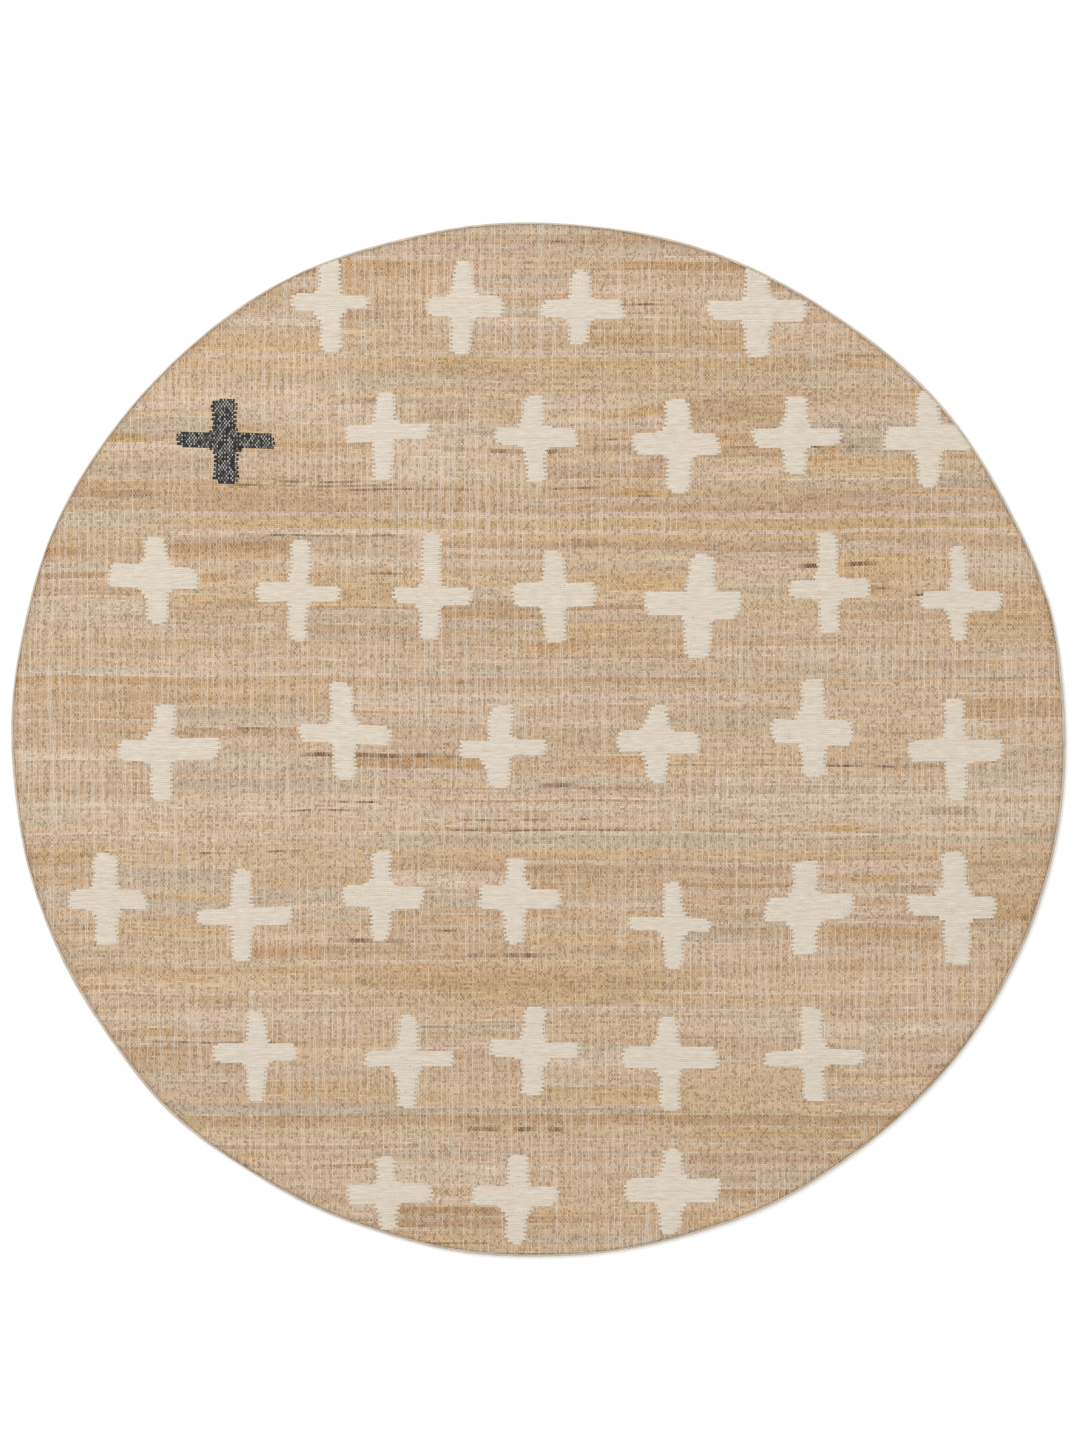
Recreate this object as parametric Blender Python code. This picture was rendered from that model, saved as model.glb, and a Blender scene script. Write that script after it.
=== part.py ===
"""Round flat-woven jute rug lying flat, 2 m across.

Metres, +Z up. The origin is on the floor under the middle of the rug. +X is the weft, across the
rug, and +Y is the warp. A narrow tape is folded round the cut edge, so the cloth is drawn thinner
there and the tape lies flush with it, above and below.
"""

import math
import random

import bmesh
import bpy
from mathutils import Vector

# The cut outline
MEAN_RADIUS = 1.000
OUTLINE_STEPS = 144
# Each row is a swelling of the outline: how many lobes, how far they stand out, and where the first
# one points, in degrees from +X towards +Y. The first is the rug's slight oval.
OUTLINE_LOBES = (
    (2, 0.0103, -9.0),
    (3, 0.0019, 6.0),
    (4, 0.0012, 39.0),
    (7, 0.0007, 19.0),
    (10, 0.0008, 9.0),
    (13, 0.0007, 11.0),
    (14, 0.0009, -10.0),
)
# The shears leave more unevenness on top of those lobes
CUT_WAVES = range(8, 23)
CUT_WAVE_DEPTH = 0.0003
CUT_SEED = 7

# The cloth and its binding
THICKNESS = 0.0060
TAPE_THICKNESS = 0.0006
TAPE_WIDTH = 0.0050
TAPE_ROUNDING = 0.0015
FIT_GAP = 0.0003
ROUNDING_STEPS = 1
CUT_MARGIN = 0.002

JUTE = (0.571, 0.413, 0.275, 1.0)
TAPE = (0.412, 0.342, 0.258, 1.0)
CLOTH_ROUGHNESS = 0.9


def clear_scene():
    for obj in list(bpy.data.objects):
        bpy.data.objects.remove(obj, do_unlink=True)


def new_collection(name):
    collection = bpy.data.collections.new(name)
    bpy.context.scene.collection.children.link(collection)
    return collection


def cloth_material(name, color):
    material = bpy.data.materials.new(name)
    material.use_nodes = True
    shader = material.node_tree.nodes["Principled BSDF"]
    shader.inputs["Base Color"].default_value = color
    shader.inputs["Roughness"].default_value = CLOTH_ROUGHNESS
    shader.inputs["Metallic"].default_value = 0.0
    return material


def outline():
    """Points round the cut edge, with the middle of their box at the origin."""
    draw = random.Random(CUT_SEED)
    waves = [(lobes, draw.uniform(0.0, math.tau)) for lobes in CUT_WAVES]
    edge = []
    for step in range(OUTLINE_STEPS):
        angle = math.tau * step / OUTLINE_STEPS
        radius = MEAN_RADIUS
        for lobes, depth, first_at in OUTLINE_LOBES:
            radius += depth * math.cos(lobes * (angle - math.radians(first_at)))
        for lobes, phase in waves:
            radius += CUT_WAVE_DEPTH * math.cos(lobes * angle + phase)
        edge.append(radius * Vector((math.cos(angle), math.sin(angle), 0.0)))
    middle = Vector((max(p.x for p in edge) + min(p.x for p in edge),
                     max(p.y for p in edge) + min(p.y for p in edge), 0.0)) / 2
    return [point - middle for point in edge]


def slab(name, inset, bottom, top, rounding, collection):
    """A closed mesh of the rug's outline, drawn in by inset, from bottom to top, with round edges."""
    edge = outline()
    curve = bpy.data.curves.new(name, "CURVE")
    curve.dimensions = "2D"
    curve.fill_mode = "BOTH"
    curve.extrude = (top - bottom) / 2 - rounding
    curve.bevel_depth = rounding
    curve.bevel_resolution = ROUNDING_STEPS
    spline = curve.splines.new("POLY")
    spline.points.add(len(edge) - 1)
    for point, place in zip(spline.points, edge, strict=True):
        point.co = (*(place - (inset + rounding) * place.normalized()), 1.0)
    spline.use_cyclic_u = True

    flat = bpy.data.objects.new(name + "_outline", curve)
    flat.location.z = (bottom + top) / 2
    collection.objects.link(flat)
    bpy.context.view_layer.update()
    graph = bpy.context.evaluated_depsgraph_get()
    mesh = bpy.data.meshes.new_from_object(flat.evaluated_get(graph))
    solid = bpy.data.objects.new(name, mesh)
    solid.matrix_world = flat.matrix_world
    collection.objects.link(solid)
    bpy.data.objects.remove(flat, do_unlink=True)

    # A curve's caps are loose
    shape = bmesh.new()
    shape.from_mesh(mesh)
    bmesh.ops.remove_doubles(shape, verts=shape.verts, dist=1e-5)
    bmesh.ops.recalc_face_normals(shape, faces=shape.faces)
    shape.to_mesh(mesh)
    shape.free()
    mesh.shade_smooth()
    mesh.set_sharp_from_angle(angle=math.radians(30))
    return solid


def hide_cutter(cutter):
    cutter.hide_render = True
    cutter.display_type = "WIRE"


def add_boolean(target, other, operation):
    modifier = target.modifiers.new(other.name, "BOOLEAN")
    modifier.operation = operation
    modifier.solver = "EXACT"
    modifier.object = other
    hide_cutter(other)


def build_rug(parts, cutters):
    """The woven field: full thickness inside the tape, and a thinner rim that the tape folds round."""
    tape = TAPE_THICKNESS + FIT_GAP
    field = slab("rug", TAPE_WIDTH + FIT_GAP, 0.0, THICKNESS, 0.0, parts)
    rim = slab("rim", tape, tape, THICKNESS - tape, TAPE_ROUNDING - tape, cutters)
    add_boolean(field, rim, "UNION")
    field.data.materials.append(cloth_material("jute_cloth", JUTE))
    return field


def build_binding(parts, cutters):
    """The tape: a ring open towards the middle, folded round the rim with an even gap."""
    ring = slab("edge_binding", 0.0, 0.0, THICKNESS, TAPE_ROUNDING, parts)
    fold = slab(
        "fold",
        TAPE_THICKNESS,
        TAPE_THICKNESS,
        THICKNESS - TAPE_THICKNESS,
        TAPE_ROUNDING - TAPE_THICKNESS,
        cutters,
    )
    middle = slab("middle", TAPE_WIDTH, -CUT_MARGIN, THICKNESS + CUT_MARGIN, 0.0, cutters)
    add_boolean(ring, fold, "DIFFERENCE")
    add_boolean(ring, middle, "DIFFERENCE")
    ring.data.materials.append(cloth_material("cotton_tape", TAPE))
    return ring


def main():
    clear_scene()
    parts = new_collection("round_jute_rug")
    cutters = new_collection("cutters")
    build_rug(parts, cutters)
    build_binding(parts, cutters)


main()
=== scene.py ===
# Round flat-woven jute rug, 2 m across, lying flat on a pale studio floor and seen from straight above.
# The frame gives its cut edge, thickness and place. This script gives its yarns, colours and binding.
import math
import random
from functools import partial

import bpy
import numpy as np
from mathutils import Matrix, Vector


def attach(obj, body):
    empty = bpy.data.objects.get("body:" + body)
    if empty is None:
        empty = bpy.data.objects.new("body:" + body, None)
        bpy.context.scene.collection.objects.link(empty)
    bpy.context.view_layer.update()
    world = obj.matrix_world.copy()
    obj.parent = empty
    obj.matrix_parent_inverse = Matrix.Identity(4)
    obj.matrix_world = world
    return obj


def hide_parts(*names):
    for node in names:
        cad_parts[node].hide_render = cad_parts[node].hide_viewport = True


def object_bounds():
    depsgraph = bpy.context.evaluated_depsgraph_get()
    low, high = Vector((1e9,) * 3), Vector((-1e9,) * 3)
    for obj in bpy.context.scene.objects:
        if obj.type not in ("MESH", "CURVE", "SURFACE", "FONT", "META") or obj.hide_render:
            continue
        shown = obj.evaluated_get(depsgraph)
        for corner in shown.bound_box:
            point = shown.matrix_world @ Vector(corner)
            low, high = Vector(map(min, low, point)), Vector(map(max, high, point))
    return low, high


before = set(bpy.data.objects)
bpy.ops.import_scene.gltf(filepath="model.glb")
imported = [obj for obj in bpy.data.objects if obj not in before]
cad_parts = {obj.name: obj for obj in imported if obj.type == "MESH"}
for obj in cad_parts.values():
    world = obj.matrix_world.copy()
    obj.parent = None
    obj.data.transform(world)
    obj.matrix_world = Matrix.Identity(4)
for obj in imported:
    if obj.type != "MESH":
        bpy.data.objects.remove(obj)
scene = bpy.context.scene
cadLow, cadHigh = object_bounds()
print("frame loaded, rug is", [round(side, 4) for side in cadHigh - cadLow], "m")


def linearColour(hexText):
    # sRGB hex to the linear colour that a shader wants
    shares = [int(hexText[i:i + 2], 16) / 255 for i in (1, 3, 5)]
    return [s / 12.92 if s <= 0.04045 else ((s + 0.055) / 1.055) ** 2.4 for s in shares] + [1.0]


def setInputs(node, values):
    # an input takes a plain value, a hex colour, a socket, or a node's first output in use
    for place, value in values.items():
        if isinstance(value, bpy.types.Node):
            value = next(output for output in value.outputs if output.enabled)
        if isinstance(value, bpy.types.NodeSocket):
            node.id_data.links.new(value, node.inputs[place])
        else:
            value = linearColour(value) if str(value).startswith("#") else value
            node.inputs[place].default_value = value


def addNode(tree, kind, *inputs, **settings):
    # one node with its settings; its inputs come in the order that it shows them, or by name in a
    # dictionary; "Math.ADD" and "TexNoise.2D" are nodes with their main setting
    kind, _, mainSetting = kind.partition(".")
    names = [family + kind for family in (tree.bl_idname[:-4], "FunctionNode", "ShaderNode", "")]
    node = tree.nodes.new(next(name for name in names if hasattr(bpy.types, name)))
    if mainSetting:
        mains = ("operation", "data_type", "noise_dimensions", "voronoi_dimensions")
        setattr(node, next(name for name in mains if hasattr(node, name)), mainSetting)
    for name, value in settings.items():
        setattr(node, name, value)
    shown = [place for place, socket in enumerate(node.inputs) if socket.enabled]
    for place, value in zip(shown, inputs, strict=False):
        setInputs(node, value if isinstance(value, dict) else {place: value})
    return node


def newMaterial(name, roughness):
    # a material, its shader, and the function that adds a node to it
    material = bpy.data.materials.new(name)
    material.use_nodes = True
    shader = material.node_tree.nodes["Principled BSDF"]
    setInputs(shader, {"Roughness": roughness})
    return material, shader, partial(addNode, material.node_tree)


def newShapeTree(name, values):
    # a Geometry Nodes tree, with a named input for its base mesh and for each of these values
    tree = bpy.data.node_groups.new(name, "GeometryNodeTree")
    for way in ("INPUT", "OUTPUT"):
        tree.interface.new_socket("Geometry", in_out=way, socket_type="NodeSocketGeometry")
    for label, value in values.items():
        kind = type(value).__name__.capitalize()  # Float, Int, Material or Object
        tree.interface.new_socket(label, in_out="INPUT", socket_type="NodeSocket" + kind)
    return partial(addNode, tree), tree.nodes.new("NodeGroupInput").outputs


def closeShapeTree(add, geometry, given):
    # every tree ends the same way
    real = add("RealizeInstances", geometry)
    painted = add("SetMaterial", real, {"Material": given["Material"]})
    return add("NodeGroupOutput", painted).id_data


def addObject(name, data):
    piece = bpy.data.objects.new(name, data)
    scene.collection.objects.link(piece)
    return piece


def growPiece(name, base, makeTree, values):
    # runs a tree with these values on a base mesh and keeps the result as a plain mesh
    holder = addObject(name + "_base", base)
    modifier = holder.modifiers.new(name, "NODES")
    modifier.node_group = tree = makeTree(values)
    for item in tree.interface.items_tree:
        if item.in_out == "INPUT" and item.name in values:
            modifier[item.identifier] = values[item.name]
    bpy.context.view_layer.update()
    graph = bpy.context.evaluated_depsgraph_get()
    mesh = bpy.data.meshes.new_from_object(
        holder.evaluated_get(graph), preserve_all_data_layers=True, depsgraph=graph)
    holder.modifiers.remove(modifier)
    bpy.data.objects.remove(holder, do_unlink=True)
    mesh.name = name
    return addObject(name, mesh)


def newMesh(name, points, edges=(), faces=()):
    mesh = bpy.data.meshes.new(name)
    mesh.from_pydata(points, edges, faces)
    return mesh


def closedLine(name, points):
    count = len(points)
    return newMesh(name, points, [(i, (i + 1) % count) for i in range(count)])


def setValues(mesh, name, values, kind="FLOAT", domain="POINT"):
    layer = mesh.attributes.new(name, kind, domain)
    layer.data.foreach_set("color" if kind == "FLOAT_COLOR" else "value", np.ravel(values))


def readValues(items, name, kind=int, each=1):
    values = np.zeros(each * len(items), kind)
    items.foreach_get(name, values)
    return values


def addMap(mesh, name, u, v):
    layer = mesh.uv_layers.new(name=name)
    layer.data.foreach_set("uv", np.column_stack([u, v]).ravel())


def ease(share):
    share = np.clip(share, 0.0, 1.0)
    return share * share * (3 - 2 * share)


def softNoise(x, y, cellX, cellY, seed):
    # smooth noise from -1 to 1, its values one cell apart; whole cells in y have nothing in common
    table = np.random.default_rng(seed).uniform(-1, 1, (1024, 256))
    across, up = np.asarray(x, float) / cellX, np.asarray(y, float) / cellY
    i, j = np.floor(across).astype(int), np.floor(up).astype(int)
    s, t = ease(across - i), ease(up - j)
    low, high = (table[row % 1024, i % 256] * (1 - s) + table[row % 1024, (i + 1) % 256] * s
                 for row in (j, j + 1))
    return low * (1 - t) + high * t


# The cut edge is where the tape's outer face is in the frame
tapeCorners = np.array([v.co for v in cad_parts["edge_binding"].data.vertices])
cornerBearing = np.round(np.degrees(np.arctan2(tapeCorners[:, 1], tapeCorners[:, 0])), 1)
cornerRadius = np.hypot(tapeCorners[:, 0], tapeCorners[:, 1])
edgeBearing = np.unique(cornerBearing)
edgeRadius = np.array([cornerRadius[cornerBearing == b].max() for b in edgeBearing])
edgeBearing = np.radians(edgeBearing)


def cutRadius(bearing):
    return np.interp(bearing, edgeBearing, edgeRadius, period=math.tau)


def cutDepth(x, y):
    # how far a point lies inside the cut edge
    return cutRadius(np.arctan2(y, x)) - np.hypot(x, y)


roundTheEdge = np.linspace(0, math.tau, 3600, endpoint=False)
edgeX, edgeY = cutRadius(roundTheEdge) * np.cos(roundTheEdge), cutRadius(roundTheEdge) * np.sin(roundTheEdge)
highestBearing, lowestBearing = roundTheEdge[np.argmax(edgeY)], roundTheEdge[np.argmin(edgeY)]


def rowEnds(heights, inset):
    # left and right ends of rows at these heights, inset from the cut edge; a row past it has no length
    heights = np.asarray(heights, float)
    bearing = np.where(heights > 0, highestBearing, lowestBearing)
    middle = heights / np.tan(bearing)
    ends = []
    for way in (-1.0, 1.0):
        near, far = middle.copy(), middle + way * 1.2  # from inside the rug to well outside it
        for _ in range(34):  # each round halves the gap
            half = (near + far) / 2
            inside = cutDepth(half, heights) > inset
            near, far = np.where(inside, half, near), np.where(inside, far, half)
        ends.append(near)
    return ends


cloth = {
    "warpPitch": 0.00295,  # cotton warps, run up the rug
    "pickPitch": 0.00405,  # jute wefts, run across it
    "columnWarps": 6,  # warps from one column of points to the next
    "edgeInset": 0.0009,  # the cut edge stays inside the fold of the tape
    "shoulder": 0.0085,  # the cloth thins from here to the edge, where the tape grips it
    "rimDrop": 0.00055,
    "weftRelief": 0.00040,  # half of the step from a weft's crest to the valley beside it
    "slub": 0.35,
    "slubScale": 45.0,  # a slub is about 2 cm long
    "unevenness": 0.0003,
    "swellScale": 5.0,  # and a swell of the cloth about 20 cm
    "swellFrom": (0.006, 0.06),  # it grows to its full size over these depths inside the edge
    "flatRim": 0.0015,  # the wefts have no relief this close to the edge
    "undersideInset": 0.0070,
    "undersideSlope": 0.0015,
    "rimUnderside": 0.00095,
    "underside": 0.0002,
    "driftUp": 0.0036,  # how far the wefts wander from straight
    "driftAcross": 0.0016,
    "calmEdge": 0.07,  # they lie straighter from here to the edge
    "seed": 11,
}
clothTop = cadHigh.z - cloth["weftRelief"]


def layOfCloth(x, y):
    # where a point of the flat weave lies on the rug; wefts and warps wander, but not at the edge
    calm = ease(cutDepth(x, y) / cloth["calmEdge"])
    seed = cloth["seed"]
    up = softNoise(x, y, 0.21, 0.30, seed) + 0.4 * softNoise(x, y, 0.07, 0.12, seed + 1)
    across = softNoise(x, y, 0.24, 0.17, seed + 2)
    return x + calm * cloth["driftAcross"] * across, y + calm * cloth["driftUp"] * up


signs = {
    # where the arms cross, how far they reach left, right, down and up, and the width of the upright, in
    # millimetres, and the picks in the bar; from the top row down
    "places": (
        (-398, 836, 74, 76, 92, 82, 41, 8), (-145, 825, 68, 80, 87, 85, 39, 9),
        (80, 826, 72, 85, 70, 71, 39, 10), (418, 823, 94, 93, 88, 92, 47, 9),
        (-600, 572, 91, 93, 80, 78, 47, 7), (-295, 584, 75, 88, 87, 76, 39, 8),
        (-7, 582, 77, 81, 84, 75, 39, 8), (268, 563, 87, 80, 91, 86, 47, 10),
        (491, 579, 81, 88, 67, 72, 43, 8), (745, 574, 85, 92, 91, 92, 44, 11),
        (-730, 308, 92, 79, 86, 76, 43, 10), (-458, 278, 82, 79, 90, 97, 37, 8),
        (-205, 279, 72, 80, 84, 115, 37, 8), (30, 282, 82, 79, 93, 77, 41, 11),
        (308, 259, 106, 78, 100, 95, 51, 11), (554, 289, 77, 79, 82, 105, 39, 8),
        (804, 265, 73, 82, 73, 100, 31, 8),
        (-717, -17, 87, 108, 101, 82, 41, 10), (-373, 12, 83, 89, 88, 92, 43, 9),
        (-75, -13, 77, 90, 78, 78, 45, 8), (226, -3, 76, 83, 79, 68, 39, 10),
        (526, 14, 83, 76, 82, 98, 45, 12), (798, -16, 91, 93, 96, 93, 39, 11),
        (-827, -309, 71, 77, 83, 85, 45, 8), (-567, -340, 86, 98, 82, 92, 39, 8),
        (-301, -304, 73, 82, 79, 87, 37, 9), (-45, -304, 69, 87, 89, 75, 37, 10),
        (258, -356, 87, 72, 80, 82, 37, 7), (511, -323, 76, 91, 88, 88, 47, 12),
        (797, -320, 92, 77, 110, 100, 49, 10),
        (-539, -601, 85, 80, 87, 77, 37, 9), (-250, -615, 83, 89, 89, 83, 37, 8),
        (-8, -592, 84, 86, 90, 76, 41, 8), (249, -610, 89, 95, 97, 75, 37, 10),
        (525, -608, 92, 98, 81, 92, 41, 8),
        (-291, -869, 74, 85, 67, 66, 35, 9), (-41, -875, 86, 79, 87, 77, 39, 9),
        (255, -865, 90, 94, 77, 79, 40, 10),
    ),
    "charcoal": 4,  # the fifth of them is the charcoal one
    "barShift": (-1, 0, 0, 0, 1),  # picks by which either arm starts or ends earlier or later
    "lean": 0.05,  # sideways for each unit of height
    "barSlant": (-0.004, 0.004),  # least and most at the ends of the bar,
    "barRound": (0.002, 0.009),
    "cornerFill": (0.003, 0.015),  # in the corners between the arms,
    "cornerPicks": (1, 6),
    "tipPicks": (1, 5),  # and at the tips of the upright
    "tipShare": (0.03, 0.28),
    "leastStretch": 0.008,  # a shorter piece at the cut edge is left out
    "sway": (0.0006, 0.0020),  # the sides wander by this much, over 10 to 20 picks
    "tooth": 0.0027,  # every other pick stands out this far at a sign's sides
    "toothVariation": 0.0012,
    "edgeInset": 0.0035,  # a sign that meets the cut edge runs in under the tape
    "seed": 5,
}


def armEdges(dice, pick, first, last, arm):
    # how far a sign reaches to the left and right of its upright's middle line at this pick
    reach = []
    for side in (0, 1):
        barLow, barHigh = arm["bars"][side]
        toBar = max(barLow - pick, pick - barHigh, 0)
        way = 1 if pick > barHigh else 0
        toTip = last - pick if way else pick - first
        if toBar == 0:
            t = (2 * pick - barLow - barHigh) / (barHigh - barLow)
            slant, rounding = arm["ends"][side]
            edge = arm["reach"][side] - slant * t - rounding * abs(t) ** 3
        else:
            fill, picks = arm["fills"][way][side]
            edge = arm["width"] / 2 + fill * max(0.0, 1 - (toBar - 1) / picks)
            picks, share = arm["tips"][way][side]
            if toTip < picks:
                edge -= arm["width"] * share * (1 - toTip / picks) ** 1.5
        sway, turn = arm["sways"][side]
        edge += sway * math.sin(turn + math.tau * pick / (10 + 10 * arm["width"] / 0.05))
        tooth = signs["tooth"] * (1 if (pick + side) % 2 else -1)
        reach.append(edge + tooth + dice.uniform(-1, 1) * signs["toothVariation"])
    return reach


def signSpans():
    # for every pick, the stretches that belong to signs, left to right: (left, right, number of the sign)
    pitch = cloth["pickPitch"]
    spans = {}
    for number, (*place, barPicks) in enumerate(signs["places"]):
        dice = random.Random(1000 * signs["seed"] + number)
        crossX, crossY, toLeft, toRight, below, above, uprightWidth = (size / 1000 for size in place)
        arm = {
            "width": uprightWidth,
            "reach": (toLeft, toRight),
            "ends": [(dice.uniform(*signs["barSlant"]), dice.uniform(*signs["barRound"])) for _ in range(2)],
            "fills": [[(dice.uniform(*signs["cornerFill"]), dice.randint(*signs["cornerPicks"]))
                       for _ in range(2)] for _ in range(2)],
            "tips": [[(dice.randint(*signs["tipPicks"]), dice.uniform(*signs["tipShare"]))
                      for _ in range(2)] for _ in range(2)],
        }
        lean = dice.uniform(-1, 1) * signs["lean"]
        first, last = round((crossY - below) / pitch), round((crossY + above) / pitch)
        barLow = round(crossY / pitch - (barPicks - 1) / 2)
        barHigh = barLow + barPicks - 1
        arm["bars"] = [(barLow + dice.choice(signs["barShift"]), barHigh + dice.choice(signs["barShift"]))
                       for _ in range(2)]
        if number == signs["charcoal"]:
            arm["bars"] = [(barLow, barHigh)] * 2
        arm["sways"] = [(dice.uniform(*signs["sway"]), dice.uniform(0, math.tau)) for _ in range(2)]
        picks = np.arange(first, last + 1)
        edgeLeft, edgeRight = rowEnds(picks * pitch, signs["edgeInset"])
        for pick, leftmost, rightmost in zip(picks.tolist(), edgeLeft, edgeRight, strict=True):
            left, right = armEdges(dice, pick, first, last, arm)
            middle = crossX + lean * (pick * pitch - crossY)
            left, right = max(middle - left, leftmost), min(middle + right, rightmost)
            if right - left > signs["leastStretch"]:
                spans.setdefault(pick, []).append((left, right, number))
    for row in spans.values():
        row.sort()
    return spans


signStretches = signSpans()
print("signs laid out on", len(signStretches), "picks")


juteLots = {
    # undyed jute comes in lots; how often a lot turns up, and its shade
    "shades": (("#BC9F7F", 25), ("#BAA07E", 11), ("#BDA68D", 22), ("#B29F86", 12), ("#B99772", 10),
               ("#B99970", 7), ("#B29271", 9), ("#AC8861", 4)),
    "lotPicks": (1, 1, 1, 2, 2, 2, 3, 3, 4, 5, 6, 9),
    "fade": 0.50,  # a lot gives way to another over about this length
    "streak": 0.05,
    "pickTone": 0.055,  # each pick is a little lighter or darker than its lot
    "deepening": (1.0, 1.36, 1.76),  # darker jute is also browner: powers for red, green and blue
    "rimPaintedShade": 0.33,  # towards the cut edge the cloth is slightly darker: painted shade where it dips down under the tape
    "darkYarn": "#6A4626",
    "darkPicks": 36,  # single dark picks in the rug
    "darkLength": (0.05, 0.40),
    "patches": 130,  # short stronger patches, 1 to 4 picks tall
    "patchReach": (0.02, 0.08),
    "patchStrength": (0.25, 0.6),
    "patchShades": ("#B07A38", "#B68642", "#A8937C", "#8F6D47"),
    "lotTone": (0.93, 1.07),
    "rimShadeWidth": 0.0135,
    "seed": 23,
}


def lotTable(dice, lanes, picks):
    # the lot of every pick in every lane, and which number of lot it is there
    shades = [linearColour(shade)[:3] for shade, _ in juteLots["shades"]]
    weights = [weight for _, weight in juteLots["shades"]]
    colours, numbers = np.zeros((lanes, picks, 3)), np.zeros((lanes, picks), int)
    count = 0
    for lane in range(lanes):
        pick = 0
        while pick < picks:
            length = dice.choice(juteLots["lotPicks"])
            colour = np.array(dice.choices(shades, weights)[0]) * dice.uniform(*juteLots["lotTone"])
            colours[lane, pick:pick + length] = colour
            numbers[lane, pick:pick + length] = count
            count += 1
            pick += length
    return colours, numbers


def weftColours(x, pick, lane):
    # the colour of the weft at each point, from its pick, its place along it and the lane between signs
    dice = random.Random(juteLots["seed"])
    seed = juteLots["seed"]
    row = pick - pick.min()
    lanes, picks = lane.max() + 1, row.max() + 1
    lotA, numberA = lotTable(dice, lanes, picks)
    lotB, numberB = lotTable(dice, lanes, picks)
    mixing = softNoise(x, numberA[lane, row], juteLots["fade"], 1, seed)
    mixing += 0.5 * softNoise(x, numberB[lane, row], juteLots["fade"] / 2, 1, seed + 1)
    mixing += 0.2 * softNoise(x, row, juteLots["fade"] / 3, 1, seed + 2)
    share = ease(0.5 + 0.95 * mixing)[:, None]
    colour = lotA[lane, row] * share + lotB[lane, row] * (1 - share)
    for _ in range(juteLots["patches"]):
        centre, start = dice.uniform(-1, 1), dice.randint(0, picks - 1)
        reach, tall = dice.uniform(*juteLots["patchReach"]), dice.randint(1, 4)
        shade = np.array(linearColour(dice.choice(juteLots["patchShades"]))[:3])
        near = (row >= start) & (row < start + tall) & (np.abs(x - centre) < reach)
        strength = dice.uniform(*juteLots["patchStrength"])
        strength = strength * ease(2 - 2 * np.abs(x[near] - centre) / reach)[:, None]
        colour[near] = colour[near] * (1 - strength) + shade * strength
    dark = np.array(linearColour(juteLots["darkYarn"])[:3])
    for _ in range(juteLots["darkPicks"]):
        centre, start = dice.uniform(-0.95, 0.95), dice.randint(0, picks - 1)
        reach = dice.uniform(*juteLots["darkLength"]) / 2
        near = (row >= start) & (row < start + dice.choice((1, 1, 1, 2))) & (np.abs(x - centre) < reach)
        broken = np.clip(0.55 + 0.7 * softNoise(x[near], start, 0.013, 1, seed + 3), 0, 1)
        strength = (broken * ease(3 - 3 * np.abs(x[near] - centre) / reach))[:, None]
        colour[near] = colour[near] * (1 - strength) + dark * strength
    streak = softNoise(x, row, 0.09, 1, seed + 4) + 0.7 * softNoise(x, row, 0.03, 1, seed + 5)
    tone = juteLots["streak"] * streak + juteLots["pickTone"] * softNoise(x, row, 0.8, 1, seed + 6)
    # painted shade on the weft towards the cut edge, where the cloth dips under the tape
    tone -= juteLots["rimPaintedShade"] * (
        1 - ease(cutDepth(x, pick * cloth["pickPitch"]) / juteLots["rimShadeWidth"]))
    return colour * (1 + tone)[:, None] ** np.array(juteLots["deepening"])


def joinRows(x, lower, upper):
    # the faces between two rows of points, left to right
    faces = []
    a, b = 0, 0
    while a < len(lower) - 1 or b < len(upper) - 1:
        nextA = x[lower[a + 1]] if a < len(lower) - 1 else math.inf
        nextB = x[upper[b + 1]] if b < len(upper) - 1 else math.inf
        if abs(nextA - nextB) < 1e-9:
            faces.append((lower[a], lower[a + 1], upper[b + 1], upper[b]))
            a, b = a + 1, b + 1
        elif nextA < nextB:
            faces.append((lower[a], lower[a + 1], upper[b]))
            a += 1
        else:
            faces.append((lower[a], upper[b + 1], upper[b]))
            b += 1
    return faces


def wovenRows():
    # rows of points half a pick apart, a crest and a valley in turn, each as long as the cut edge allows
    half = cloth["pickPitch"] / 2
    columnStep = cloth["columnWarps"] * cloth["warpPitch"]
    least = 0.004  # from a row's end to its next point
    top, low = edgeY.max() - cloth["edgeInset"], edgeY.min() + cloth["edgeInset"]
    numbers = np.arange(math.ceil(low / half), math.floor(top / half) + 1)
    ends = rowEnds(numbers * half, cloth["edgeInset"])
    innerEnds = rowEnds(numbers * half, cloth["shoulder"])
    rows = []
    for number, left, right, innerLeft, innerRight in zip(numbers, *ends, *innerEnds, strict=True):
        first, last = math.ceil((left + least) / columnStep), math.floor((right - least) / columnStep)
        places = [column * columnStep for column in range(first, last + 1)]
        if innerRight - innerLeft > 4 * columnStep:
            places = [p for p in places if innerLeft + least < p < innerRight - least]
            places = [innerLeft, *places, innerRight]
        rows.append((number, [left, *places, right]))
    return rows


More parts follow.
